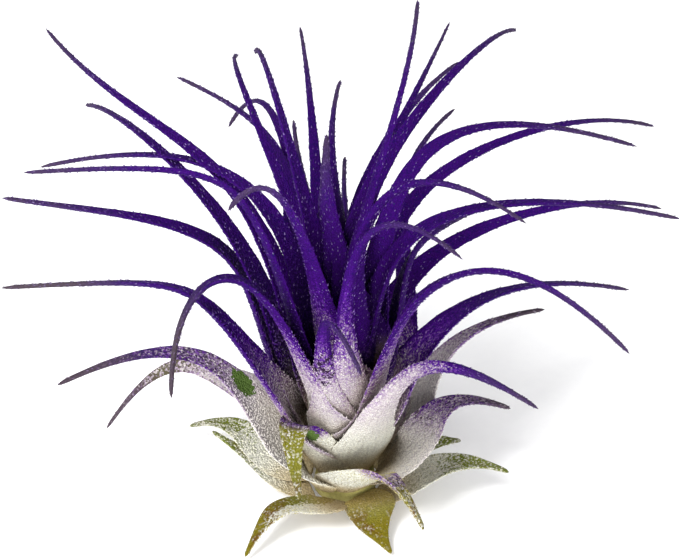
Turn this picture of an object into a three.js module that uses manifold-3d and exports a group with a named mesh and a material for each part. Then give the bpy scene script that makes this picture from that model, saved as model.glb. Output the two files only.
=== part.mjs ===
// Tillandsia ionantha, the Guatemala form: a bare rosette standing on the flat foot of its own short stem.
// Millimetres, +Z up. The origin is the middle of the foot, on the surface that the plant stands on.
// -Y is the front, +X the right-hand side seen from there. Angles are degrees, counted from +X towards +Y.
import * as THREE from "three";
import { NURBSCurve } from "three/addons/curves/NURBSCurve.js";
import { mergeVertices } from "three/addons/utils/BufferGeometryUtils.js";
import Module from "manifold-3d";

const wasm = await Module();
wasm.setup();

// Stem: a short tapering caudex, hidden by the leaf bases.
const FOOT_RADIUS = 4.2;
const STEM_RADIUS = 5.5;
const STEM_TAPER = 0.15;
const FOOT_EDGE_HEIGHT = 1.2;
const STEM_TOP = 22.5;
const STEM_SIDES = 20;

// Leaf spiral: each younger leaf stands one golden angle on, and a little higher.
const GOLDEN_ANGLE = 137.508;
const FIRST_LEAF_ANGLE = 200;
const FIRST_LEAF_HEIGHT = 1.3;
const LEAF_PITCH = 0.18;
const PITCH_GROWTH = 0.006;

// Clearance between the leaves and the stem and among themselves, and the least overlap that counts.
const ROOT_GAP = 0.3;
const LEAF_GAP = 0.3;
const TOUCH = 0.001;

// Leaf section: a broad clasping sheath that runs out into a narrow channelled blade.
const SHEATH_PEAK = 8.5;
const SHEATH_SWELL = 2.4;
const SHEATH_ROUNDING = 1.4;
const BLADE_ROOT_HALF_WIDTH = 2.5;
const BLADE_TIP_HALF_WIDTH = 0.3;
const BLADE_TAPER = 1.5;
const SHEATH_THICKNESS = 0.65;
const BLADE_SWELL = 0.45;
const TIP_THICKNESS = 0.6;
const CHANNEL_DEPTH = 0.32;
const STATIONS = 13;
const STATION_SPREAD = 1.1;
const STRAIGHT_SHARE = 0.45;
const TIP_LENGTH = 0.03;
const ROLL_LENGTH = 16;
const PEAK_SHARE = 0.3;
const NECK_SHARE = 0.78;
const NECK_LENGTH = 4;
const SWELL_FADE = 4;
const THICKENING = [9, 20];
const CHANNELLING = [6, 18];
const SHEATH_CUP = 0.06;
const CUP_LIMIT = 0.5;
const SHOULDER = 0.55;
const EDGE_THINNING = 0.3;

// Colours: dry green on the oldest leaves, pale felt on the short ones next to them, violet dye on the rest.
const GREEN = 0x8a9060;
const SILVER = 0xb9aed0;
const VIOLET = 0x4a2591;
const DRY = 0x8a7a62;
const GREEN_SLOTS = 8;
const SILVER_SLOTS = 17;
const LEAF_ROUGHNESS = 0.65;
const STEM_ROUGHNESS = 0.9;

// A leaf at its slot on the spiral.
// sheath: how steeply it rises, how far it stands before the bend, and how far it leans sideways.
// tip: its angle round the axis, its reach from the axis and its height.
// end: slope and sideways swing of the last stretch, and its share of the leaf.
// broad, blade: width of the leaf, and of its blade alone, against a plain leaf.
// roll: how far the blade turns round its midrib above the stem.
function leaf(slot, place, sheath, tip, end, { broad = 1, blade = 1, roll = 0 } = {}) {
  return { slot, place, sheath, tip, end, broad, blade, roll };
}

// Oldest first.
const LEAVES = [
  leaf(0, "low_left", [16, 5, -20], [164, 23, 7], [20, -15, 0.25], { broad: 0.85 }),
  leaf(1, "low_right", [7, 4, 13], [-6.6, 27, 6.1], [-16, -8, 0.38], { broad: 1.12 }),
  leaf(2, "low_back", [0, 12, 0], [115, 32, 1], [-10, 0, 0.33]),
  leaf(3, "low_front_left", [19, 9, -49], [-132, 24, 1], [-30, 10, 0.38], { broad: 0.96 }),
  leaf(4, "low_back_right", [8, 7, 0], [19, 20.5, 4.6], [-15, 0, 0.33]),
  leaf(5, "low_back_left", [10, 9, -6], [155, 29, 3], [-32, 6, 0.34], { broad: 1.1 }),
  leaf(6, "low_front", [11, 4, -26], [-66, 18.3, 0.8], [-10, 8, 0.35]),
  leaf(7, "back", [20, 16, 0], [83, 40, 10], [-20, 0, 0.33]),
  leaf(8, "left", [58, 18, -30], [-173, 46, 26.5], [-18, 13, 0.5], { broad: 1.35, roll: -50 }),
  leaf(9, "right", [45, 10, 26], [29, 38, 23.2], [3, -20, 0.44], { broad: 1.2, roll: 15 }),
  leaf(10, "left_drooping", [44, 21.7, 40], [167, 41, 5], [-58, 26, 0.52], { broad: 0.88, roll: -30 }),
  leaf(11, "front", [50, 12.5, 18], [-58.9, 24, 9.3], [-52, 16, 0.5], { broad: 1.5, blade: 0.8 }),
  leaf(12, "back_right_low", [46, 30, 16], [72, 63, 35.8], [-4, -14, 0.34]),
  leaf(14, "right_short", [43, 13, 4], [4.5, 27.1, 15.3], [-16, -14, 0.46], { broad: 1.25, roll: 50 }),
  leaf(15, "back_curled", [38, 25, 0], [109, 63, 32], [-62, 26, 0.4]),
  leaf(16, "front_left_short", [69, 21, -24], [-109, 22, 16], [-44, 32, 0.42], { broad: 1.5, blade: 0.42 }),
  leaf(18, "back_left_long", [72, 42, -16], [134, 63, 46], [-34, -28, 0.36], { broad: 1.2 }),
  leaf(19, "front_right", [65, 32.6, -4], [-18, 32, 25.2], [-23, -7, 0.51], { broad: 1.12, blade: 1.12 }),
  leaf(20, "right_long", [57, 34, -2], [32, 63, 33], [-34, 9, 0.33], { broad: 0.85 }),
  leaf(21, "left_long", [66, 43, -14], [175, 55, 38], [-5, 4, 0.42], { broad: 1.5, blade: 0.87, roll: -25 }),
  leaf(22, "right_drooping", [76, 29.4, -4], [26, 53, 23.6], [-21, -13, 0.38], { broad: 1.2, roll: 40 }),
  leaf(23, "back_long", [58, 40, -15], [116, 67, 42.2], [-1.5, 24, 0.34]),
  leaf(24, "front_sheath", [70, 20, -14], [-83, 20, 40], [-40, 25, 0.47], { broad: 1.4, blade: 0.37 }),
  leaf(26, "left_arched", [58, 37, -60], [167, 56, 50], [-6, -9, 0.3], { broad: 1.3 }),
  leaf(27, "front_right_long", [76, 42.8, -23], [-9, 45, 34], [-34, -24, 0.5], { broad: 1.5, roll: 30 }),
  leaf(28, "back_right_long", [61, 27, 10], [72.5, 67, 43], [-9, -13, 0.34]),
  leaf(29, "hooked", [75, 43, -54], [-150, 31, 32], [-52, 60, 0.47], { broad: 1.8, blade: 0.8, roll: -30 }),
  leaf(30, "right_inner", [72, 31, 60], [54, 38, 35], [-14, 0, 0.36], { broad: 1.3 }),
  leaf(31, "back_left_high", [70, 47, -8], [135, 71, 58.2], [-5, -21, 0.34], { broad: 0.95 }),
  leaf(32, "centre_right_small", [70, 30, -27], [-20, 19, 52], [-35, -2, 0.46], { broad: 0.9 }),
  leaf(33, "right_arched", [74, 42, 23], [38, 66, 44.8], [-34, 4, 0.3], { broad: 0.8 }),
  leaf(34, "left_high", [78, 47.2, -30], [162, 54, 52], [-13.5, 4, 0.46], { broad: 1.15 }),
  leaf(36, "back_high", [76, 23, 10], [98, 55, 56], [-4, -2, 0.32], { broad: 0.85 }),
  leaf(37, "centre_left_hooked", [86, 12.4, 2], [178, 18, 56], [-58, 2, 0.37], { broad: 1.6, roll: -30 }),
  leaf(38, "right_high", [85, 49, 36], [27, 53, 52], [-21, -24, 0.38], { broad: 1.1, roll: 25 }),
  leaf(39, "left_inner", [81, 40, -20], [153, 56, 47], [-18.5, 21, 0.38], { roll: -20 }),
  leaf(40, "centre_right", [80, 38, -65], [1, 28, 53.6], [-26, -26, 0.48], { broad: 0.9 }),
  leaf(41, "back_right_high", [80, 35, 48], [62, 62, 55], [-34, 12, 0.32], { broad: 0.88 }),
  leaf(43, "right_top", [86, 38, 0], [13, 55, 46], [-19.5, -5, 0.36], { roll: 20 }),
  leaf(44, "back_inner", [81, 23, -6], [109, 56, 51], [-36, -25, 0.37], { broad: 0.72 }),
];

// The youngest leaves, grown together with the bud at the heart of the rosette.
const HEART_RADIUS = 1.3;
const HEART_BASE = 23.0;
const HEART_TOP = 28.0;
const HEART_LEAVES = [
  leaf(46, "heart", [90, 14, 0], [103, 38, 48.7], [17, -8, 0.34]),
  leaf(47, "heart", [90, 21, 0], [73, 40, 71], [3, 14, 0.32], { broad: 1.15 }),
  leaf(48, "heart", [88, 21, 0], [91, 41, 54], [1, -11, 0.33]),
  leaf(49, "heart", [85, 27, 10], [71, 54, 59], [2, 3, 0.33], { broad: 0.75 }),
  leaf(50, "heart", [91, 5, 0], [99, 19, 58], [22, -13, 0.35], { broad: 1.7 }),
  leaf(51, "heart", [86, 17, 0], [90, 33, 44], [-1, -3, 0.33]),
  leaf(52, "heart", [80, 22, -10], [115, 34, 65.4], [-46, -21, 0.33]),
];

const UP = new THREE.Vector3(0, 0, 1);
const rad = THREE.MathUtils.degToRad;
const smooth = THREE.MathUtils.smoothstep;

// A unit vector from its angle round the axis and its slope.
function heading(angle, slope) {
  const flat = Math.cos(rad(slope));
  return new THREE.Vector3(
    Math.cos(rad(angle)) * flat,
    Math.sin(rad(angle)) * flat,
    Math.sin(rad(slope)),
  );
}

function stemRadius(z) {
  return STEM_RADIUS - STEM_TAPER * z;
}

function slotAngle(slot) {
  return FIRST_LEAF_ANGLE + GOLDEN_ANGLE * slot;
}

function slotHeight(slot) {
  return FIRST_LEAF_HEIGHT + LEAF_PITCH * slot + PITCH_GROWTH * slot * slot;
}

// Where a leaf starts: just off the stem, square to its surface.
function leafRoot(leaf) {
  const angle = slotAngle(leaf.slot);
  const height = slotHeight(leaf.slot);
  const stemSlope = Math.atan(STEM_TAPER) * THREE.MathUtils.RAD2DEG;
  const tilt = Math.abs(Math.sin(rad(leaf.sheath[0] - stemSlope)));
  const off = ROOT_GAP + 0.5 * SHEATH_THICKNESS * tilt;
  const root = heading(angle, 0).multiplyScalar(stemRadius(height)).setZ(height);
  return root.addScaledVector(heading(angle, stemSlope), off);
}

// The midrib, a smooth curve through the sheath, the bend and the drawn-out tip.
function midrib(leaf, root) {
  const angle = slotAngle(leaf.slot);
  const [rise, stand, lean] = leaf.sheath;
  const [aim, reach, height] = leaf.tip;
  const [fall, turn, share] = leaf.end;
  const tip = heading(aim, 0).multiplyScalar(reach).setZ(height);
  const base = root.clone().addScaledVector(heading(angle, rise), STRAIGHT_SHARE * stand);
  const knee = root.clone().addScaledVector(heading(angle + lean, rise), stand);
  const last = tip.clone().addScaledVector(heading(aim + turn, fall), -share * tip.distanceTo(root));
  const controls = [root, base, knee, last, tip].map((p) => new THREE.Vector4(p.x, p.y, p.z, 1));
  return new NURBSCurve(3, [0, 0, 0, 0, 0.5, 1, 1, 1, 1], controls);
}

function halfWidth(s, length, leaf) {
  const q = s / length;
  const peak = Math.min(SHEATH_PEAK, PEAK_SHARE * length);
  const x = s / peak;
  const fade = 1 - q ** SWELL_FADE;
  const swell = SHEATH_SWELL * (x * Math.exp(1 - x)) ** SHEATH_ROUNDING * fade;
  const blade = BLADE_TIP_HALF_WIDTH + leaf.blade * BLADE_ROOT_HALF_WIDTH * (1 - q) ** BLADE_TAPER;
  const neck = THREE.MathUtils.lerp(NECK_SHARE, 1, smooth(s, 0, NECK_LENGTH));
  return leaf.broad * (blade * neck + swell);
}

function thickness(s, length) {
  const q = s / length;
  const blade = SHEATH_THICKNESS + BLADE_SWELL * (1 - q) * smooth(s, ...THICKENING);
  return Math.max(TIP_THICKNESS, blade);
}

// How far the edges of the section stand in towards the axis of the plant.
function cupDepth(s, length, width, point, tangent) {
  const around = Math.hypot(point.x, point.y) + 0.5;
  const clasp = ((width * width) / (2 * around)) * Math.max(0, tangent.z);
  const channel = CHANNEL_DEPTH * width;
  const sheath = clasp + SHEATH_CUP * width;
  const cup = THREE.MathUtils.lerp(sheath, channel, smooth(s, ...CHANNELLING));
  return Math.min(CUP_LIMIT * width, cup);
}

// Eight points round the section: across (-1 to 1) and side (1 outer, -1 inner).
const SECTION = [
  [-1, 0],
  [-SHOULDER, 1],
  [0, 1],
  [SHOULDER, 1],
  [1, 0],
  [SHOULDER, -1],
  [0, -1],
  [-SHOULDER, -1],
];

function leafName(leaf) {
  return `leaf_${String(leaf.slot).padStart(2, "0")}_${leaf.place}`;
}

function leafColour(leaf) {
  if (leaf.slot < GREEN_SLOTS) return GREEN;
  return leaf.slot < SILVER_SLOTS ? SILVER : VIOLET;
}

// One leaf as a closed surface swept along its midrib. grow makes it that much thicker on every side.
function leafGeometry(leaf, root, grow = 0) {
  const curve = midrib(leaf, root);
  const length = curve.getLength();
  const points = [];
  const faces = [];
  const rise = rad(leaf.sheath[0]);
  let outer = heading(slotAngle(leaf.slot), 0)
    .multiplyScalar(Math.sin(rise))
    .addScaledVector(UP, -Math.cos(rise));
  for (let i = 0; i < STATIONS; i++) {
    const along = (i / (STATIONS - 1)) ** STATION_SPREAD * (1 - TIP_LENGTH);
    const centre = curve.getPointAt(along);
    const tangent = curve.getTangentAt(along);
    outer = outer.clone().addScaledVector(tangent, -outer.dot(tangent)).normalize();
    const s = along * length;
    const back = outer.clone().applyAxisAngle(tangent, rad(leaf.roll) * smooth(s, 0, ROLL_LENGTH));
    const side = tangent.clone().cross(back);
    const width = halfWidth(s, length, leaf);
    const half = 0.5 * thickness(s, length) + grow;
    const cup = cupDepth(s, length, width, centre, tangent) * (1 + grow / width) ** 2;
    for (const [across, face] of SECTION) {
      const round = 1 - EDGE_THINNING * across * across;
      points.push(
        centre
          .clone()
          .addScaledVector(side, across * (width + grow))
          .addScaledVector(back, face * half * round - cup * across * across),
      );
    }
  }
  const ring = SECTION.length;
  for (let i = 0; i < STATIONS - 1; i++) {
    for (let j = 0; j < ring; j++) {
      const a = i * ring + j;
      const b = i * ring + ((j + 1) % ring);
      faces.push(a, b, a + ring, b, b + ring, a + ring);
    }
  }
  const last = (STATIONS - 1) * ring;
  const tipIndex = points.length;
  points.push(curve.getPointAt(1));
  for (let j = 0; j < ring; j++) {
    faces.push(last + j, last + ((j + 1) % ring), tipIndex);
  }
  faces.push(0, 7, 1, 1, 6, 2, 1, 7, 6, 2, 5, 3, 2, 6, 5, 3, 5, 4);
  const geometry = new THREE.BufferGeometry().setFromPoints(points);
  geometry.setIndex(faces);
  return geometry;
}

// A closed geometry as a solid, and back.
function toSolid(geometry) {
  const bare = new THREE.BufferGeometry();
  bare.setAttribute("position", geometry.getAttribute("position"));
  bare.setIndex(geometry.getIndex());
  const merged = mergeVertices(bare, 1e-4);
  return new wasm.Manifold(
    new wasm.Mesh({
      numProp: 3,
      vertProperties: new Float32Array(merged.getAttribute("position").array),
      triVerts: new Uint32Array(merged.getIndex().array),
    }),
  );
}

function fromSolid(solid) {
  const mesh = solid.getMesh();
  const geometry = new THREE.BufferGeometry();
  geometry.setAttribute("position", new THREE.BufferAttribute(mesh.vertProperties, 3));
  geometry.setIndex(new THREE.BufferAttribute(mesh.triVerts, 1));
  return geometry;
}

// A solid of revolution about +Z from [radius, height] pairs that start and end on the axis.
function turned(profile, sides) {
  const geometry = new THREE.LatheGeometry(
    profile.map(([r, z]) => new THREE.Vector2(r, z)),
    sides,
  );
  geometry.rotateX(Math.PI / 2);
  return geometry;
}

function add(group, name, geometry, tone, roughness) {
  const flat = geometry.index ? geometry.toNonIndexed() : geometry;
  flat.computeVertexNormals();
  const material = new THREE.MeshStandardMaterial({ color: tone, roughness, metalness: 0 });
  const mesh = new THREE.Mesh(flat, material);
  mesh.name = name;
  group.add(mesh);
}

const plant = new THREE.Group();
plant.name = "guatemala_ionantha_air_plant";

const stemProfile = [
  [0, 0],
  [FOOT_RADIUS, 0],
  [stemRadius(FOOT_EDGE_HEIGHT), FOOT_EDGE_HEIGHT],
  [stemRadius(0.5 * STEM_TOP), 0.5 * STEM_TOP],
  [stemRadius(STEM_TOP - 1), STEM_TOP - 1],
  [0.6 * stemRadius(STEM_TOP), STEM_TOP],
  [0, STEM_TOP],
];
add(plant, "stem", turned(stemProfile, STEM_SIDES), DRY, STEM_ROUGHNESS);

const budProfile = [
  [0, HEART_BASE],
  [HEART_RADIUS + 0.6, HEART_BASE],
  [HEART_RADIUS + 1.2, HEART_BASE + 1.5],
  [HEART_RADIUS + 0.6, HEART_TOP - 1],
  [0, HEART_TOP],
];

// The biggest single body of a solid, with the small spaces sealed inside it filled.
function mainBody(solid) {
  return solid.decompose().reduce((best, body) => (body.volume() > best.volume() ? body : best));
}

// The heart, grown by a margin on every side where one is given.
function heartBody(grow) {
  const profile = budProfile.map(([r, z]) => [r > 0 ? r + grow : 0, z]);
  let body = toSolid(turned(profile, 12));
  for (const leaf of HEART_LEAVES) {
    const root = heading(slotAngle(leaf.slot), 0).multiplyScalar(HEART_RADIUS).setZ(HEART_BASE + 1);
    body = body.add(toSolid(leafGeometry(leaf, root, grow)));
  }
  return mainBody(body);
}

const heart = heartBody(0);
add(plant, "heart_leaves", fromSolid(heart), VIOLET, LEAF_ROUGHNESS);

// Youngest first: an older leaf that presses on a younger one is hollowed to lie against it.
const placed = [{ shape: heart, room: heartBody(LEAF_GAP) }];
for (const leaf of [...LEAVES].reverse()) {
  const root = leafRoot(leaf);
  let shape = toSolid(leafGeometry(leaf, root));
  for (const other of placed) {
    if (shape.intersect(other.shape).volume() > TOUCH) {
      shape = mainBody(shape.subtract(other.room));
    }
  }
  placed.push({ shape, room: toSolid(leafGeometry(leaf, root, LEAF_GAP)) });
  add(plant, leafName(leaf), fromSolid(shape), leafColour(leaf), LEAF_ROUGHNESS);
}

export default plant;
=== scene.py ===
"""A bare Guatemala ionantha air plant, dyed violet, standing on a white table."""

import logging
import math
from dataclasses import dataclass
from enum import Enum
from functools import partial
from typing import Any

import bpy
import numpy as np
from mathutils import Matrix, Vector


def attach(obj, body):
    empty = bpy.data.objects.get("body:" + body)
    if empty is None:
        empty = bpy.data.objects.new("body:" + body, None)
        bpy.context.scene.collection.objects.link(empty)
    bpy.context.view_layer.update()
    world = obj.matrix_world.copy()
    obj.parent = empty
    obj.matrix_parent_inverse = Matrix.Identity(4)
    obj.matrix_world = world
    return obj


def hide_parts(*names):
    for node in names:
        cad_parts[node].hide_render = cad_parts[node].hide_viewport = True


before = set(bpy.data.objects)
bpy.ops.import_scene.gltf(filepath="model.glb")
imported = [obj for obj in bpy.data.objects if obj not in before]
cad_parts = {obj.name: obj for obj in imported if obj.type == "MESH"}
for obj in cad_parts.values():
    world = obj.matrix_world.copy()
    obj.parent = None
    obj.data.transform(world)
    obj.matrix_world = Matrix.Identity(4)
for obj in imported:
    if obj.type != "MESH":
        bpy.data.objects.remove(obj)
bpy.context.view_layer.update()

LOG = logging.getLogger("air_plant")
MM = 0.001
BODY = "root"
SEED = 7
TONE_SEED = 100

MATH = "ShaderNodeMath"
RANGE = "ShaderNodeMapRange"
MIX = "ShaderNodeMix"
TIMES: dict[str, Any] = {"operation": "MULTIPLY"}
SCALED: dict[str, Any] = {"operation": "MULTIPLY_ADD"}
SMOOTH: dict[str, Any] = {"interpolation_type": "SMOOTHSTEP"}
MIXED: dict[str, Any] = {"data_type": "RGBA", "clamp_factor": True}
SHADED: dict[str, Any] = {**MIXED, "blend_type": "MULTIPLY"}


def linear(code: str) -> tuple[float, float, float, float]:
    """Turns an sRGB hex colour into the linear values that a shader takes.

    Args:
        code: the colour as "#rrggbb".

    Returns:
        Red, green, blue and alpha.
    """
    channels = [int(code[i : i + 2], 16) / 255 for i in (1, 3, 5)]
    low = [c / 12.92 if c <= 0.04045 else ((c + 0.055) / 1.055) ** 2.4 for c in channels]
    return (low[0], low[1], low[2], 1.0)


def add(
    tree: bpy.types.NodeTree, kind: str, links: dict[str, Any] | list[Any], **settings: Any
) -> bpy.types.Node:
    """Adds a node with its settings, values and links.

    Args:
        tree: the shader or geometry tree.
        kind: the node's type name.
        links: what the inputs in use take, each a value, a hex colour or another node's output, by the
            inputs' names or as a list in their order.
        settings: the node's own properties.

    Returns:
        The new node.
    """
    node = tree.nodes.new(kind)
    for name, setting in settings.items():
        setattr(node, name, setting)
    used = [s for s in node.inputs if s.enabled]
    if isinstance(links, dict):
        used = [next(s for s in used if s.name == name) for name in links]
        links = list(links.values())
    for socket, given in zip(used, links):
        if isinstance(given, bpy.types.NodeSocket):
            tree.links.new(given, socket)
        elif given is not None:
            socket.default_value = linear(given) if socket.type == "RGBA" else given
    return node


def out(node: bpy.types.Node, name: str = "") -> bpy.types.NodeSocket:
    """Gives a node's output that is in use, by its name or else the first."""
    return next(s for s in node.outputs if s.enabled and name in ("", s.name))


def result(
    tree: bpy.types.NodeTree, kind: str, links: dict[str, Any] | list[Any], **settings: Any
) -> bpy.types.NodeSocket:
    """Adds a node as above and gives its first output in use."""
    return out(add(tree, kind, links, **settings))


def smooth(value: Any, low: float, high: float) -> Any:
    """Rises smoothly from 0 at low to 1 at high."""
    t = np.clip((np.asarray(value, float) - low) / (high - low), 0.0, 1.0)
    return t * t * (3.0 - 2.0 * t)


def heading(angle: float, slope: float) -> np.ndarray:
    """Gives the unit vector at an angle round the axis and a slope, both in degrees."""
    a, b = math.radians(angle), math.radians(slope)
    return np.array([math.cos(a) * math.cos(b), math.sin(a) * math.cos(b), math.sin(b)])


@dataclass(frozen=True)
class Spiral:
    """The stem's taper and the golden spiral that the leaves grow on, in millimetres and degrees."""

    first_angle: float = 200.0
    golden_angle: float = 137.508
    first_height: float = 1.3
    pitch: float = 0.18
    pitch_growth: float = 0.006
    stem_radius: float = 5.5
    stem_taper: float = 0.15
    root_gap: float = 0.3
    sheath_thickness: float = 0.65
    heart_radius: float = 1.3
    heart_base: float = 23.0

    def radius(self, height: float) -> float:
        """Gives the stem's radius at a height."""
        return self.stem_radius - self.stem_taper * height

    def angle(self, slot: int) -> float:
        """Gives the angle of a leaf's slot."""
        return self.first_angle + self.golden_angle * slot

    def root(self, slot: int, rise: float) -> np.ndarray:
        """Gives the point just off the stem where a leaf starts.

        Args:
            slot: the leaf's place on the spiral.
            rise: the slope at which it leaves the stem.

        Returns:
            The point, in millimetres.
        """
        angle = self.angle(slot)
        height = self.first_height + self.pitch * slot + self.pitch_growth * slot * slot
        slope = math.degrees(math.atan(self.stem_taper))
        tilt = abs(math.sin(math.radians(rise - slope)))
        off = self.root_gap + 0.5 * self.sheath_thickness * tilt
        foot = heading(angle, 0) * self.radius(height) + np.array([0, 0, height])
        return foot + heading(angle, slope) * off

    def heart_root(self, slot: int) -> np.ndarray:
        """Gives the point in the bud where one of the youngest leaves starts."""
        return heading(self.angle(slot), 0) * self.heart_radius + np.array([0, 0, self.heart_base + 1])


SPIRAL = Spiral()


@dataclass(frozen=True)
class Tint:
    """How a leaf's colour runs from its root to its tip.

    dye: the heights between which the violet sets in, in millimetres, and how strong it gets. A faint
        wash of it comes before, and the dip's level lies lower at the back.
    felt: how dense the pale scales are on the sheath and on the blade.
    olive: how yellow the undyed skin is at the tip. dry: how dry the tip is.
    inner: the share of the felt that the upper face keeps.
    fold: where the dye is kept to one fold, its middle and half width as shares of the leaf.
    flank: the share of the felt that one side of the upper face keeps besides.
    """

    dye: tuple[float, float, float] = (16.0, 38.0, 1.0)
    felt: tuple[float, float] = (1.0, 0.5)
    olive: float = 0.0
    dry: float = 0.5
    inner: float = 0.9
    fold: tuple[float, float] | None = None
    flank: float = 0.0


class Tone(Enum):
    """The leaf finishes that the plant shows."""

    VIOLET = Tint()
    AGED = Tint(dry=1.0)
    PLUM = Tint(dye=(17.0, 34.0, 0.5), felt=(1.0, 0.2), dry=0.8)
    HEATHER = Tint(dye=(11.5, 18.0, 0.42), felt=(1.0, 0.35), olive=0.15, dry=0.7)
    FROSTED = Tint(dye=(22.0, 48.0, 1.0), felt=(1.0, 0.6))
    HOOKED = Tint(dye=(23.0, 40.0, 1.0), felt=(1.0, 0.5), dry=1.0)
    LAVENDER = Tint(dye=(23.0, 40.0, 1.0), felt=(1.0, 0.6))
    HINGED = Tint(dye=(0.0, 1.0, 0.3), felt=(1.0, 0.3), olive=0.9, dry=0.1, inner=1.0, fold=(0.64, 0.1))
    FOLDED = Tint(dye=(0.0, 1.0, 0.5), felt=(1.0, 0.3), olive=0.7, dry=0.3, inner=0.5, fold=(0.55, 0.09))
    GREEN = Tint(dye=(0.0, 1.0, 0.0), felt=(1.0, 0.3), olive=0.25, dry=0.3, inner=0.75)
    GREY = Tint(dye=(12.0, 30.0, 0.3), felt=(1.0, 0.25), olive=0.2, dry=0.7, inner=0.8)
    OLIVE = Tint(dye=(0.0, 1.0, 0.0), felt=(0.95, 0.45), olive=1.0, dry=0.1, inner=0.03)
    FLANKED = Tint(dye=(0.0, 1.0, 0.0), felt=(1.0, 0.5), olive=1.0, dry=0.1, inner=0.03, flank=0.95)


@dataclass(frozen=True)
class Scrape:
    """A patch where the scales are rubbed off, down to green skin or to dark dyed skin.

    at: millimetres from the root and place across, -1 to 1. depth: how much of the scales is gone.
    """

    at: tuple[float, float]
    radius: float
    depth: float = 1.0
    dark: bool = False


@dataclass(frozen=True)
class Leaf:
    """One leaf: its slot, its course and its finish. Millimetres and degrees.

    sheath: how steeply it rises, how far it stands before the bend, and how far it leans sideways.
    tip: its angle round the axis, its reach from the axis and its height.
    end: slope and sideways swing of the last stretch, and its share of the leaf.
    broad, blade: width of the leaf, and of its blade alone, against a plain leaf.
    roll: how far the blade turns round its own midrib above the stem.
    """

    slot: int
    place: str
    sheath: tuple[float, float, float]
    tip: tuple[float, float, float]
    end: tuple[float, float, float]
    tone: Tone = Tone.VIOLET
    broad: float = 1.0
    roll: float = 0.0
    blade: float = 1.0
    scrapes: tuple[Scrape, ...] = ()

    @property
    def name(self) -> str:
        """The leaf's node name."""
        return f"leaf_{self.slot:02d}_{self.place}"


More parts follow.
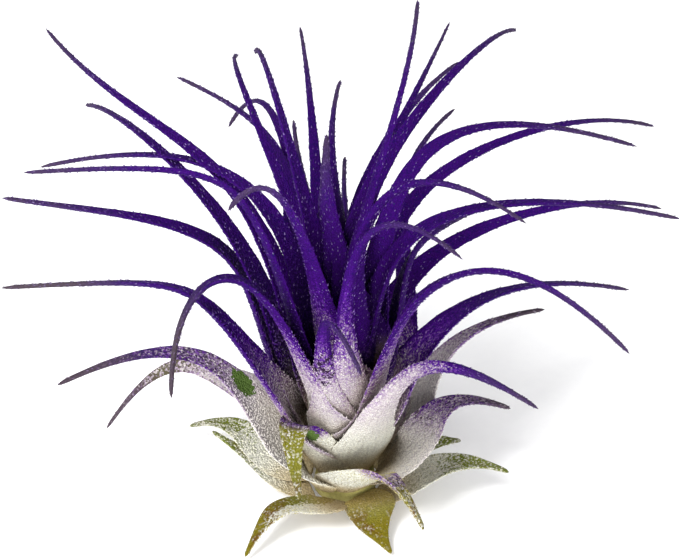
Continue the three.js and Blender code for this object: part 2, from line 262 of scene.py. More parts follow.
LEAVES: list[Leaf] = [
    Leaf(0, "low_left", (16, 5, -20), (164, 23, 7), (20, -15, 0.25), Tone.GREEN, broad=0.85),
    Leaf(1, "low_right", (7, 4, 13), (-6.6, 27, 6.1), (-16, -8, 0.38), Tone.GREEN, broad=1.12),
    Leaf(2, "low_back", (0, 12, 0), (115, 32, 1), (-10, 0, 0.33), Tone.OLIVE),
    Leaf(3, "low_front_left", (19, 9, -49), (-132, 24, 1), (-30, 10, 0.38), Tone.FLANKED, broad=0.96),
    Leaf(4, "low_back_right", (8, 7, 0), (19, 20.5, 4.6), (-15, 0, 0.33), Tone.GREEN),
    Leaf(5, "low_back_left", (10, 9, -6), (155, 29, 3), (-32, 6, 0.34), Tone.GREEN, broad=1.1),
    Leaf(6, "low_front", (11, 4, -26), (-66, 18.3, 0.8), (-10, 8, 0.35), Tone.OLIVE),
    Leaf(7, "back", (20, 16, 0), (83, 40, 10), (-20, 0, 0.33), Tone.GREEN),
    Leaf(8, "left", (58, 18, -30), (-173, 46, 26.5), (-18, 13, 0.5), Tone.PLUM, broad=1.35, roll=-50,
         scrapes=(Scrape((24.5, -0.4), 1.8),)),
    Leaf(9, "right", (45, 10, 26), (29, 38, 23.2), (3, -20, 0.44), Tone.PLUM, broad=1.2, roll=15),
    Leaf(10, "left_drooping", (44, 21.7, 40), (167, 41, 5), (-58, 26, 0.52), Tone.GREY,
         broad=0.88, roll=-30),
    Leaf(11, "front", (50, 12.5, 18), (-58.9, 24, 9.3), (-52, 16, 0.5), Tone.HINGED,
         broad=1.5, blade=0.8),
    Leaf(12, "back_right_low", (46, 30, 16), (72, 63, 35.8), (-4, -14, 0.34)),
    Leaf(14, "right_short", (43, 13, 4), (4.5, 27.1, 15.3), (-16, -14, 0.46), Tone.HEATHER,
         broad=1.25, roll=50),
    Leaf(15, "back_curled", (38, 25, 0), (109, 63, 32), (-62, 26, 0.4)),
    Leaf(16, "front_left_short", (69, 21, -24), (-109, 22, 16), (-44, 32, 0.42), Tone.FOLDED,
         broad=1.5, blade=0.42, scrapes=(Scrape((15.2, 0.3), 1.6),)),
    Leaf(18, "back_left_long", (72, 42, -16), (134, 63, 46), (-34, -28, 0.36), broad=1.2),
    Leaf(19, "front_right", (65, 32.6, -4), (-18, 32, 25.2), (-23, -7, 0.51), Tone.LAVENDER,
         broad=1.12, blade=1.12),
    Leaf(20, "right_long", (57, 34, -2), (32, 63, 33), (-34, 9, 0.33), broad=0.85),
    Leaf(21, "left_long", (66, 43, -14), (175, 55, 38), (-5, 4, 0.42), Tone.AGED,
         broad=1.5, roll=-25, blade=0.87),
    Leaf(22, "right_drooping", (76, 29.4, -4), (26, 53, 23.6), (-21, -13, 0.38), broad=1.2, roll=40),
    Leaf(23, "back_long", (58, 40, -15), (116, 67, 42.2), (-1.5, 24, 0.34)),
    Leaf(24, "front_sheath", (70, 20, -14), (-83, 20, 40), (-40, 25, 0.47), Tone.LAVENDER,
         broad=1.4, blade=0.37, scrapes=(Scrape((24.7, 0.1), 2.4, 0.5, True),)),
    Leaf(26, "left_arched", (58, 37, -60), (167, 56, 50), (-6, -9, 0.3), broad=1.3),
    Leaf(27, "front_right_long", (76, 42.8, -23), (-9, 45, 34), (-34, -24, 0.5), Tone.FROSTED,
         broad=1.5, roll=30),
    Leaf(28, "back_right_long", (61, 27, 10), (72.5, 67, 43), (-9, -13, 0.34)),
    Leaf(29, "hooked", (75, 43, -54), (-150, 31, 32), (-52, 60, 0.47), Tone.HOOKED,
         broad=1.8, roll=-30, blade=0.8),
    Leaf(30, "right_inner", (72, 31, 60), (54, 38, 35), (-14, 0, 0.36), broad=1.3),
    Leaf(31, "back_left_high", (70, 47, -8), (135, 71, 58.2), (-5, -21, 0.34), broad=0.95),
    Leaf(32, "centre_right_small", (70, 30, -27), (-20, 19, 52), (-35, -2, 0.46), Tone.FROSTED, broad=0.9),
    Leaf(33, "right_arched", (74, 42, 23), (38, 66, 44.8), (-34, 4, 0.3), broad=0.8),
    Leaf(34, "left_high", (78, 47.2, -30), (162, 54, 52), (-13.5, 4, 0.46), broad=1.15),
    Leaf(36, "back_high", (76, 23, 10), (98, 55, 56), (-4, -2, 0.32), broad=0.85),
    Leaf(37, "centre_left_hooked", (86, 12.4, 2), (178, 18, 56), (-58, 2, 0.37), Tone.FROSTED,
         broad=1.6, roll=-30),
    Leaf(38, "right_high", (85, 49, 36), (27, 53, 52), (-21, -24, 0.38), broad=1.1, roll=25),
    Leaf(39, "left_inner", (81, 40, -20), (153, 56, 47), (-18.5, 21, 0.38), roll=-20),
    Leaf(40, "centre_right", (80, 38, -65), (1, 28, 53.6), (-26, -26, 0.48), broad=0.9),
    Leaf(41, "back_right_high", (80, 35, 48), (62, 62, 55), (-34, 12, 0.32), broad=0.88),
    Leaf(43, "right_top", (86, 38, 0), (13, 55, 46), (-19.5, -5, 0.36), roll=20),
    Leaf(44, "back_inner", (81, 23, -6), (109, 56, 51), (-36, -25, 0.37), broad=0.72),
]

HEART_LEAVES: list[Leaf] = [
    Leaf(46, "heart", (90, 14, 0), (103, 38, 48.7), (17, -8, 0.34)),
    Leaf(47, "heart", (90, 21, 0), (73, 40, 71), (3, 14, 0.32), broad=1.15),
    Leaf(48, "heart", (88, 21, 0), (91, 41, 54), (1, -11, 0.33)),
    Leaf(49, "heart", (85, 27, 10), (71, 54, 59), (2, 3, 0.33), broad=0.75),
    Leaf(50, "heart", (91, 5, 0), (99, 19, 58), (22, -13, 0.35), broad=1.7),
    Leaf(51, "heart", (86, 17, 0), (90, 33, 44), (-1, -3, 0.33)),
    Leaf(52, "heart", (80, 22, -10), (115, 34, 65.4), (-46, -21, 0.33)),
]


class Midrib:
    """The smooth curve that a leaf follows, with its section at each station along it."""

    stations: int = 84
    peak: float = 8.5
    swell: float = 2.4
    rounding: float = 1.4
    blade_root: float = 2.5
    blade_tip: float = 0.3
    taper: float = 1.5
    blade_swell: float = 0.45
    channel: float = 0.32
    tip_length: float = 0.03
    peak_share: float = 0.3
    neck_share: float = 0.78
    neck_length: float = 4.0
    swell_fade: int = 4
    least_thickness: float = 0.6
    thickening: tuple[float, float] = (9.0, 20.0)
    channelling: tuple[float, float] = (6.0, 18.0)
    sheath_cup: float = 0.06
    cup_limit: float = 0.5
    straight_share: float = 0.45
    roll_length: float = 16.0
    ripple: float = 0.05
    ripple_waves: tuple[float, ...] = (0.9, 1.7, 3.1)
    ripple_run: tuple[float, float] = (4.0, 12.0)
    reached: tuple[float, float] = (24.0, 42.0)
    thinned: tuple[float, float] = (20.0, 36.0)
    wash: float = 0.2
    wash_run: float = 12.0
    dip_slope: float = 0.45
    unlike: float = 1.5
    short_length: float = 40.0
    short_thinned: tuple[float, float] = (0.35, 0.75)
    yellowed: tuple[float, float] = (0.15, 0.6)
    dried: tuple[float, float] = (0.55, 1.0)

    def __init__(self, leaf: Leaf, root: np.ndarray) -> None:
        """Works out the stations of a leaf.

        Args:
            leaf: the leaf.
            root: where it starts, in millimetres.
        """
        self.leaf = leaf
        self.root = root
        angle = SPIRAL.angle(leaf.slot)
        rise, stand, lean = leaf.sheath
        aim, reach, height = leaf.tip
        fall, turn, share = leaf.end
        tip = heading(aim, 0) * reach + np.array([0, 0, height])
        base = root + heading(angle, rise) * self.straight_share * stand
        knee = root + heading(angle + lean, rise) * stand
        last = tip - heading(aim + turn, fall) * share * np.linalg.norm(tip - root)
        self.controls = np.array([root, base, knee, last, tip])
        self.centres, self.length = self._even_points()
        self.along = np.linspace(0, 1, self.stations) * self.length
        self.tangents = self._tangents()
        self.outers = self._outers(angle, rise)

    def _curve(self, t: np.ndarray) -> np.ndarray:
        """Evaluates the cubic spline through its five controls."""
        knots = [0, 0, 0, 0, 0.5, 1, 1, 1, 1]
        t = np.clip(t, 0, 1 - 1e-9)
        rows = [((t >= knots[i]) & (t < knots[i + 1])).astype(float) for i in range(8)]
        for degree in (1, 2, 3):
            wider = []
            for i in range(8 - degree):
                left, right = knots[i + degree] - knots[i], knots[i + degree + 1] - knots[i + 1]
                up = (t - knots[i]) / left * rows[i] if left else 0 * t
                down = (knots[i + degree + 1] - t) / right * rows[i + 1] if right else 0 * t
                wider.append(up + down)
            rows = wider
        return np.stack(rows, 1) @ self.controls

    def _even_points(self) -> tuple[np.ndarray, float]:
        """Gives evenly spaced points along the curve, and its length."""
        fine = self._curve(np.linspace(0, 1, 800))
        run = np.concatenate([[0], np.cumsum(np.linalg.norm(np.diff(fine, axis=0), axis=1))])
        marks = np.linspace(0, run[-1], self.stations)
        return np.stack([np.interp(marks, run, fine[:, k]) for k in range(3)], 1), float(run[-1])

    def _tangents(self) -> np.ndarray:
        """Gives the unit tangent at each station."""
        steps = np.gradient(self.centres, axis=0)
        return steps / np.linalg.norm(steps, axis=1, keepdims=True)

    def _outers(self, angle: float, rise: float) -> np.ndarray:
        """Carries the outward direction of the leaf's back along the curve without twist."""
        slope = math.radians(rise)
        outer = heading(angle, 0) * math.sin(slope) - np.array([0, 0, math.cos(slope)])
        rows = []
        for tangent in self.tangents:
            outer = outer - tangent * outer.dot(tangent)
            outer = outer / np.linalg.norm(outer)
            rows.append(outer)
        rows = np.array(rows)
        turns = np.radians(self.leaf.roll * smooth(self.along, 0, self.roll_length))[:, None]
        return rows * np.cos(turns) + np.cross(self.tangents, rows) * np.sin(turns)

    def sections(self) -> np.ndarray:
        """Gives half width, half thickness and cup at each station, in millimetres."""
        s, q = self.along, self.along / self.length
        x = s / min(self.peak, self.peak_share * self.length)
        swell = self.swell * (x * np.exp(1 - x)) ** self.rounding * (1 - q**self.swell_fade)
        blade = self.blade_tip + self.leaf.blade * self.blade_root * (1 - q) ** self.taper
        neck = self.neck_share + (1 - self.neck_share) * smooth(s, 0, self.neck_length)
        width = self.leaf.broad * (blade * neck + swell)
        rng = np.random.default_rng(SEED + self.leaf.slot)
        phases = rng.uniform(0, 6.3, len(self.ripple_waves))
        waves = sum(np.sin(s / wave + phase) for wave, phase in zip(self.ripple_waves, phases))
        width = width * (1 + self.ripple * waves / len(self.ripple_waves) * smooth(s, *self.ripple_run))
        swollen = self.blade_swell * (1 - q) * smooth(s, *self.thickening)
        thick = np.maximum(self.least_thickness, SPIRAL.sheath_thickness + swollen)
        around = np.hypot(self.centres[:, 0], self.centres[:, 1]) + 0.5
        clasp = width * width / (2 * around) * np.maximum(0, self.tangents[:, 2]) + self.sheath_cup * width
        mix = smooth(s, *self.channelling)
        cup = np.minimum(self.cup_limit * width, clasp + (self.channel * width - clasp) * mix)
        closing = np.sqrt(np.clip((1 - q) / self.tip_length, 0, 1))
        closing[0] = 0.0
        return np.stack([width * closing, 0.5 * thick * closing, cup * closing], 1)

    def _soaked(self, value: np.ndarray, start: float, full: float) -> np.ndarray:
        """Gives how far the dye has set in, first as a faint wash and then in full."""
        wash = self.wash * smooth(value, start - self.wash_run, start)
        return wash + (1 - self.wash) * smooth(value, start, full)

    def tones(self) -> np.ndarray:
        """Gives dye, felt and olive at each station, from 0 to 1."""
        tint = self.leaf.tone.value
        s, q = self.along, self.along / self.length
        rng = np.random.default_rng(SEED + TONE_SEED + self.leaf.slot)
        shift = rng.uniform(-self.unlike, self.unlike)
        start, full, level = tint.dye
        dipped = self.centres[:, 2] + self.dip_slope * self.centres[:, 1] + shift
        dye = level * np.maximum(self._soaked(dipped, start, full), self._soaked(s + shift, *self.reached))
        if tint.fold:
            dye = level * np.exp(-(((q - tint.fold[0]) / tint.fold[1]) ** 4))
        sheath, blade = tint.felt
        short = self.length < self.short_length
        thinned = smooth(q, *self.short_thinned) if short else smooth(s + shift, *self.thinned)
        felt = sheath + (blade - sheath) * thinned
        return np.stack([dye, felt, tint.olive * smooth(q, *self.yellowed)], 1)

    def wears(self) -> np.ndarray:
        """Gives dryness, the felt left on the upper face and the millimetres from the root."""
        tint = self.leaf.tone.value
        q = self.along / self.length
        return np.stack([tint.dry * smooth(q, *self.dried), 0 * q + tint.inner, self.along], 1)

    def ribbon(self, name: str) -> bpy.types.Object:
        """Makes the row of points that carries the sections for the sweep.

        Args:
            name: the object's name.

        Returns:
            A mesh object with a vertex and its attributes at each station, in metres.
        """
        mesh = bpy.data.meshes.new(name)
        mesh.from_pydata([tuple(p * MM) for p in self.centres], [], [])
        sides = np.cross(self.tangents, self.outers)
        carried = {
            "side": sides,
            "outer": self.outers,
            "run": self.tangents,
            "section": self.sections() * MM,
            "tone": self.tones(),
            "wear": self.wears(),
        }
        for key, rows in carried.items():
            data = mesh.attributes.new(key, "FLOAT_VECTOR", "POINT").data
            data.foreach_set("vector", np.asarray(rows, np.float32).ravel())
        made = bpy.data.objects.new(name, mesh)
        bpy.context.scene.collection.objects.link(made)
        return made


class SweepTree:
    """The geometry tree that sweeps a leaf's section along its row of stations."""

    weld: float = 0.004 * MM

    def __init__(self, name: str) -> None:
        """Builds the tree, with the points round the section and the finish as inputs."""
        self.tree = bpy.data.node_groups.new(name, "GeometryNodeTree")
        face = self.tree.interface
        face.new_socket("Geometry", in_out="INPUT", socket_type="NodeSocketGeometry")
        around = face.new_socket("Around", in_out="INPUT", socket_type="NodeSocketInt")
        finish = face.new_socket("Finish", in_out="INPUT", socket_type="NodeSocketMaterial")
        self.around_input, self.finish_input = around.identifier, finish.identifier
        face.new_socket("Geometry", in_out="OUTPUT", socket_type="NodeSocketGeometry")
        self._build()

    def _build(self) -> None:
        """Lays out the nodes."""
        tree = self.tree
        get = partial(result, tree)
        given = add(tree, "NodeGroupInput", {})
        row, around = given.outputs["Geometry"], given.outputs["Around"]
        count = add(tree, "GeometryNodeAttributeDomainSize", {"Geometry": row}, component="MESH")
        stations = out(count, "Point Count")
        columns = get(MATH, [around, 1.0], operation="ADD")
        size = {"Size X": 1.0, "Size Y": 1.0, "Vertices X": columns, "Vertices Y": stations}
        grid = out(add(tree, "GeometryNodeMeshGrid", size), "Mesh")
        index = get("GeometryNodeInputIndex", {})
        station = get(MATH, [index, stations], operation="MODULO")
        column = get(MATH, [index, stations], operation="DIVIDE")
        column = get(MATH, [column], operation="FLOOR")
        turn = get(MATH, [column, around], operation="DIVIDE")
        turn = get(MATH, [turn, 2 * math.pi], **TIMES)
        across = get(MATH, [turn], operation="COSINE")
        side_up = get(MATH, [turn], operation="SINE")

        def sampled(value: bpy.types.NodeSocket) -> bpy.types.NodeSocket:
            """Samples a value of the row at this point's station."""
            links = {"Geometry": row, "Value": value, "Index": station}
            return get("GeometryNodeSampleIndex", links, data_type="FLOAT_VECTOR", domain="POINT")

        carried = {
            key: sampled(get("GeometryNodeInputNamedAttribute", {"Name": key}, data_type="FLOAT_VECTOR"))
            for key in ("side", "outer", "run", "section", "tone", "wear")
        }
        width, half, cup = add(tree, "ShaderNodeSeparateXYZ", [carried["section"]]).outputs
        sideways = get(MATH, [across, width], **TIMES)
        lift = get(MATH, [side_up, half], **TIMES)
        curl = get(MATH, [across, across], **TIMES)
        curl = get(MATH, [curl, cup], **TIMES)
        lift = get(MATH, [lift, curl], operation="SUBTRACT")
        sideways = get("ShaderNodeVectorMath", [carried["side"], sideways], operation="SCALE")
        lift = get("ShaderNodeVectorMath", [carried["outer"], lift], operation="SCALE")
        place = get("ShaderNodeVectorMath", [sideways, lift], operation="ADD")
        centre = sampled(get("GeometryNodeInputPosition", {}))
        place = get("ShaderNodeVectorMath", [place, centre], operation="ADD")
        made = get("GeometryNodeSetPosition", {"Geometry": grid, "Position": place})
        kept = [(key, carried[key], "FLOAT_VECTOR") for key in ("tone", "wear", "run")]
        for key, value, kind in [*kept, ("across", across, "FLOAT"), ("face", side_up, "FLOAT")]:
            links = {"Geometry": made, "Name": key, "Value": value}
            made = get("GeometryNodeStoreNamedAttribute", links, data_type=kind, domain="POINT")
        made = get("GeometryNodeMergeByDistance", {"Geometry": made, "Distance": self.weld})
        made = get("GeometryNodeFlipFaces", {"Mesh": made})
        made = get("GeometryNodeSetShadeSmooth", {"Geometry": made})
        made = get("GeometryNodeRealizeInstances", {"Geometry": made})
        made = get("GeometryNodeSetMaterial", {"Geometry": made, "Material": given.outputs["Finish"]})
        add(tree, "NodeGroupOutput", {"Geometry": made})


class ScaleCoatTree:
    """The geometry tree that grows the plant's fine pointed scales on a leaf's skin."""

    spread: float = 0.35
    least_size: tuple[float, float, float] = (0.7, 0.3, 0.55)
    full_size: tuple[float, float, float] = (1.25, 0.6, 1.2)

    def __init__(self, name: str) -> None:
        """Builds the tree, with the scales' number, size, lean, seed and finish as inputs."""
        self.tree = bpy.data.node_groups.new(name, "GeometryNodeTree")
        face = self.tree.interface
        face.new_socket("Geometry", in_out="INPUT", socket_type="NodeSocketGeometry")
        self.inputs: dict[str, str] = {}
        kinds = {
            "Per square metre": "NodeSocketFloat",
            "Length": "NodeSocketFloat",
            "Width": "NodeSocketFloat",
            "Lean": "NodeSocketFloat",
            "Seed": "NodeSocketInt",
            "Finish": "NodeSocketMaterial",
        }
        for label, kind in kinds.items():
            self.inputs[label] = face.new_socket(label, in_out="INPUT", socket_type=kind).identifier
        face.new_socket("Geometry", in_out="OUTPUT", socket_type="NodeSocketGeometry")
        self._build()

    def _build(self) -> None:
        """Lays out the nodes."""
        tree = self.tree
        get = partial(result, tree)
        given = add(tree, "NodeGroupInput", {}).outputs
        skin, seed = given["Geometry"], given["Seed"]
        coat = get("GeometryNodeInputNamedAttribute", {"Name": "coat"}, data_type="FLOAT")
        run = get("GeometryNodeInputNamedAttribute", {"Name": "run"}, data_type="FLOAT_VECTOR")
        density = get(MATH, [coat, given["Per square metre"]], **TIMES)
        links = {"Mesh": skin, "Density": density, "Seed": seed}
        spread = add(tree, "GeometryNodeDistributePointsOnFaces", links, distribute_method="RANDOM")
        links = {"Min": (-self.spread,) * 3, "Max": (self.spread,) * 3, "Seed": seed}
        jitter = get("FunctionNodeRandomValue", links, data_type="FLOAT_VECTOR")
        lean = get("ShaderNodeVectorMath", [run, given["Lean"]], operation="SCALE")
        point = get("ShaderNodeVectorMath", [lean, out(spread, "Normal")], operation="ADD")
        point = get("ShaderNodeVectorMath", [point, jitter], operation="ADD")
        links = {"Geometry": out(spread, "Points"), "Name": "point", "Value": point}
        kept = get("GeometryNodeStoreNamedAttribute", links, data_type="FLOAT_VECTOR", domain="POINT")
        links = {"Min": 0.0, "Max": 1.0, "Seed": seed}
        chance = get("FunctionNodeRandomValue", links, data_type="FLOAT")
        links = {"Geometry": kept, "Name": "chance", "Value": chance}
        kept = get("GeometryNodeStoreNamedAttribute", links, data_type="FLOAT", domain="POINT")
        aimed = get("FunctionNodeAlignRotationToVector", {"Vector": point}, axis="Z")
        size = {"Vertices": 3, "Radius Top": 0.0, "Radius Bottom": given["Width"], "Depth": given["Length"]}
        scale = add(tree, "GeometryNodeMeshCone", size, fill_type="NGON")
        links = {"Geometry": out(scale, "Mesh"), "Name": "is_scale", "Value": True}
        marked = get("GeometryNodeStoreNamedAttribute", links, data_type="BOOLEAN", domain="FACE")
        links = {"Min": self.least_size, "Max": self.full_size, "Seed": seed}
        size = get("FunctionNodeRandomValue", links, data_type="FLOAT_VECTOR")
        links = {"Points": kept, "Instance": marked, "Rotation": aimed, "Scale": size}
        scales = get("GeometryNodeInstanceOnPoints", links)
        joined = add(tree, "GeometryNodeJoinGeometry", {})
        tree.links.new(scales, joined.inputs["Geometry"])
        tree.links.new(skin, joined.inputs["Geometry"])
        made = get("GeometryNodeRealizeInstances", {"Geometry": out(joined)})
        is_scale = get("GeometryNodeInputNamedAttribute", {"Name": "is_scale"}, data_type="BOOLEAN")
        links = {"Geometry": made, "Selection": is_scale, "Material": given["Finish"]}
        add(tree, "NodeGroupOutput", {"Geometry": get("GeometryNodeSetMaterial", links)})


def grown(piece: bpy.types.Object, tree: bpy.types.NodeTree, values: dict[str, Any]) -> bpy.types.Mesh:
    """Evaluates a geometry tree on a piece and gives the plain mesh.

    Args:
        piece: the object that the tree starts from.
        tree: the geometry tree.
        values: the modifier's inputs by socket identifier.

    Returns:
        The new mesh. The modifier is removed again.
    """
    modifier = piece.modifiers.new(tree.name, "NODES")
    modifier.node_group = tree
    for key, value in values.items():
        modifier[key] = value
    view = bpy.context.evaluated_depsgraph_get()
    mesh = bpy.data.meshes.new_from_object(
        piece.evaluated_get(view), preserve_all_data_layers=True, depsgraph=view
    )
    piece.modifiers.remove(modifier)
    return mesh


def new_material(name: str) -> tuple[bpy.types.Material, bpy.types.NodeTree, bpy.types.Node]:
    """Starts a node material.

    Args:
        name: the finish's name.

    Returns:
        The material, its empty tree and the output node.
    """
    material = bpy.data.materials.new(name)
    material.use_nodes = True
    tree = material.node_tree
    tree.nodes.clear()
    return material, tree, add(tree, "ShaderNodeOutputMaterial", {})


@dataclass(frozen=True)
class Dye:
    """Violet dye in the felt, from none to full, as steps of strength and colour."""

    steps: tuple[tuple[float, str], ...] = (
        (0.0, "#d6d6c9"),
        (0.2, "#bab1b6"),
        (0.4, "#8f779b"),
        (0.6, "#653b8a"),
        (0.8, "#48147d"),
        (1.0, "#310560"),
    )
    scatter: float = 2.3
    drift: float = 2.0

    def strength(self, tree: bpy.types.NodeTree, dye: Any, chance: Any, uneven: Any) -> bpy.types.NodeSocket:
        """Spreads the dye unevenly where it is neither absent nor full.

        Args:
            tree: the material's tree.
            dye: the even strength.
            chance: a random number for each scale, 0 to 1.
            uneven: a slow random drift about 0.

        Returns:
            The strength on this scale.
        """
        get = partial(result, tree)
        square = get(MATH, [dye, dye], **TIMES)
        half = get(MATH, [square, get(MATH, [dye, -2.0, 2.0], **SCALED)], **TIMES)
        drift = get(MATH, [uneven, self.drift, -0.5 * self.scatter], **SCALED)
        swing = get(MATH, [chance, self.scatter, drift], **SCALED)
        return get(MATH, [half, swing, dye], **SCALED)

    def colour(self, tree: bpy.types.NodeTree, strength: Any) -> bpy.types.NodeSocket:
        """Gives the colour of felt that took up the dye."""
        node = add(tree, "ShaderNodeValToRGB", [strength])
        band = node.color_ramp
        for where, _ in self.steps[1:-1]:
            band.elements.new(where)
        for element, (where, code) in zip(band.elements, self.steps):
            element.position = where
            element.color = linear(code)
        return out(node, "Color")


@dataclass(frozen=True)
class PaintedCreviceShade:
    """Painted shade on scales between leaves, found by ambient occlusion: almost black where dyed, warm brown
    where not. Also the tan of the leaf roots, partly their own colour and partly painted warm shade.
    """

    reach: float = 5.0 * MM
    closed: float = 0.15
    dyed: tuple[float, float] = (0.15, 0.6)
    deepening: float = 0.5
    # painted shade colours: warm brown in undyed crevices and near black in dyed ones; the root tan is partly
    # real and partly painted warm shade
    tan: str = "#b39b62"
    warm_shade: str = "#94794b"
    dyed_shade: str = "#0b0320"

    def shaded(
        self, tree: bpy.types.NodeTree, colour: Any, dye: Any, opening: float, least: float, rays: int
    ) -> bpy.types.NodeSocket:
        """Paints shade on a colour where leaves close in on it, as ambient occlusion finds it.

        Args:
            tree: the material's tree.
            colour: the colour in the open.
            dye: the strength of the dye.
            opening: how open the place is where the darkening starts, 0 to 1.
            least: the strength of the painted warm shade where there is no dye.
            rays: the number of rays that feel for other leaves.

        Returns:
            The colour with painted shade.
        """
        get = partial(result, tree)
        # painted shade: ambient occlusion darkens the colour where other leaves are near
        nearby = add(tree, "ShaderNodeAmbientOcclusion", {"Distance": self.reach}, samples=rays)
        shade_mask = get(RANGE, [out(nearby, "AO"), opening, self.closed], **SMOOTH)
        dyed = get(RANGE, [dye, *self.dyed], **SMOOTH)
        shade_share = get(MATH, [shade_mask, get(MATH, [dyed, self.deepening, least], **SCALED)], **TIMES)
        return get(MIX, [shade_share, colour, get(MIX, [dyed, self.warm_shade, self.dyed_shade], **MIXED)], **MIXED)


DYE = Dye()
PAINTED_CREVICE_SHADE = PaintedCreviceShade()


@dataclass(frozen=True)
class LeafSkin:
    """Living leaf skin under a coat of dead scales, which scatter light, so it looks matt and grainy.

    The scales that are too fine for the mesh are drawn as cells of their real width, 0.3 mm. Each noise
    is given by its size, detail and roughness, and each pair of limits by where it sets in and is full.
    """

    name: str = "felted_leaf_skin"
    grain: float = 0.30 * MM
    blotch: tuple[float, float, float] = (3.5 * MM, 4.0, 0.6)
    streak: tuple[float, float, float] = (1.1 * MM, 3.0, 0.65)
    fleck: tuple[float, float, float] = (0.55 * MM, 2.0, 0.7)
    relief: float = 0.16 * MM
    lanes_across: float = 9.0
    lanes_along: float = 0.16
    margin: tuple[float, float] = (0.5, 1.0)
    pooling: float = 0.5
    back: tuple[float, float] = (-0.35, 0.25)
    worn: tuple[float, float] = (0.42, 0.58)
    thinned: tuple[float, float] = (0.15, 0.45)
    scaled: tuple[float, float] = (-0.25, 0.5)
    stained: tuple[float, float] = (0.48, 0.66)
    murky: tuple[float, float] = (0.05, 0.3)
    deep: tuple[float, float] = (0.25, 0.6)
    striped: tuple[float, float] = (0.45, 0.7)
    rooted: tuple[float, float] = (9.0, 1.5)
    withered: tuple[float, float] = (0.05, 0.9)
    edged: tuple[float, float] = (0.25, 0.75)
    green: str = "#66742f"
    olive: str = "#6c6318"
    stain: str = "#5c3f14"
    murk: str = "#45383c"
    deep_violet: str = "#200552"
    dull: str = "#b9aeb4"
    stripe: str = "#a79cac"
    fresh: str = "#4f6630"
    bared: str = "#2b1b33"
    husk: str = "#453a44"
    rim: str = "#2a2030"

    def build(self) -> bpy.types.Material:
        """Builds the finish from the leaf's own attributes."""
        material, tree, end = new_material(self.name)
        get = partial(result, tree)
        keys = ("tone", "wear", "scrape", "scrape_dark", "face", "across")
        read = {key: add(tree, "ShaderNodeAttribute", {}, attribute_name=key).outputs for key in keys}
        dye, felt, olive = add(tree, "ShaderNodeSeparateXYZ", [read["tone"]["Vector"]]).outputs
        dry, inner, along = add(tree, "ShaderNodeSeparateXYZ", [read["wear"]["Vector"]]).outputs
        scrape, dark, face, across = (read[key]["Fac"] for key in keys[2:])
        place = out(add(tree, "ShaderNodeTexCoord", {}), "Object")
        cells = add(tree, "ShaderNodeTexVoronoi", {"Vector": place, "Scale": 1 / self.grain})
        picks = add(tree, "ShaderNodeSeparateColor", [cells.outputs["Color"]]).outputs
        patches, streaks, flecks = (
            get("ShaderNodeTexNoise", {"Vector": place, "Scale": 1 / size, "Detail": fine, "Roughness": rough})
            for size, fine, rough in (self.blotch, self.streak, self.fleck)
        )
        uneven = get(MATH, [patches, 0.8, -0.4], **SCALED)
        lanes = [get(MATH, [across, self.lanes_across], **TIMES), get(MATH, [along, self.lanes_along], **TIMES)]
        lanes = get("ShaderNodeCombineXYZ", lanes)
        lanes = get("ShaderNodeTexNoise", {"Vector": lanes, "Scale": 1.0, "Detail": 3.0})

        # how strong the dye is, which pools along the margins
        margin = get(RANGE, [get(MATH, [across], operation="ABSOLUTE"), *self.margin], **SMOOTH)
        pooled = get(MATH, [margin, self.pooling, 1.0], **SCALED)
        pooled = get(MATH, [pooled, dye], use_clamp=True, **TIMES)
        streaky = get(MATH, [lanes, 1.1, get(MATH, [uneven, -0.55], operation="ADD")], **SCALED)
        strength = DYE.strength(tree, pooled, picks[0], streaky)

        # where scales cover the skin, and where they are thin or rubbed off
        outside = get(RANGE, [face, *self.back], **SMOOTH)
        kept = get(MATH, [outside, get(MATH, [inner, -1.0, 1.0], **SCALED), inner], **SCALED)
        covered = get(MATH, [felt, kept], **TIMES)
        ragged = get(MATH, [streaks, 1.3, get(MATH, [flecks, 0.9, -1.1], **SCALED)], **SCALED)
        rubbed = get(RANGE, [get(MATH, [scrape, ragged], operation="ADD"), *self.worn], **SMOOTH)
        covered = get(MATH, [rubbed, get(MATH, [covered, -1.0], **TIMES), covered], **SCALED)
        thin = get(MATH, [flecks, -3.4, 1.95], **SCALED)
        thin = get(MATH, [thin, get(RANGE, [dye, *self.thinned], **SMOOTH)], **TIMES)
        sparse = get(MATH, [picks[1], -1.0, get(MATH, [thin, uneven], operation="ADD")], **SCALED)
        scaly = get(RANGE, [get(MATH, [covered, 1.5, sparse], **SCALED), *self.scaled], **SMOOTH)

        # bare skin, then the coat on it
        stained = get(MATH, [get(RANGE, [patches, *self.stained], **SMOOTH), olive], **TIMES)
        murky = get(RANGE, [dye, *self.murky], **SMOOTH)
        deep = get(RANGE, [dye, *self.deep], **SMOOTH)
        skin = get(MIX, [olive, self.green, self.olive], **MIXED)
        for share, colour in ((stained, self.stain), (murky, self.murk), (deep, self.deep_violet)):
            skin = get(MIX, [share, skin, colour], **MIXED)
        coat = DYE.colour(tree, strength)
        coat = get(MIX, [get(MATH, [picks[2], 0.25], **TIMES), coat, self.dull], **SHADED)
        striped = get(RANGE, [lanes, *self.striped], **SMOOTH)
        coat = get(MIX, [get(MATH, [striped, 0.3], **TIMES), coat, self.stripe], **SHADED)
        colour = get(MIX, [scaly, skin, coat], **MIXED)

        # tan roots, partly their own colour and partly painted warm shade between the sheaths; painted shade in
        # crevices; rubbed patches and withered tips
        rooted = get(RANGE, [get(MATH, [uneven, 4.0, along], **SCALED), *self.rooted], **SMOOTH)
        rooted = get(MATH, [rooted, get(MATH, [olive, -0.6, 0.7], **SCALED)], **TIMES)
        colour = get(MIX, [rooted, colour, PAINTED_CREVICE_SHADE.tan], **MIXED)
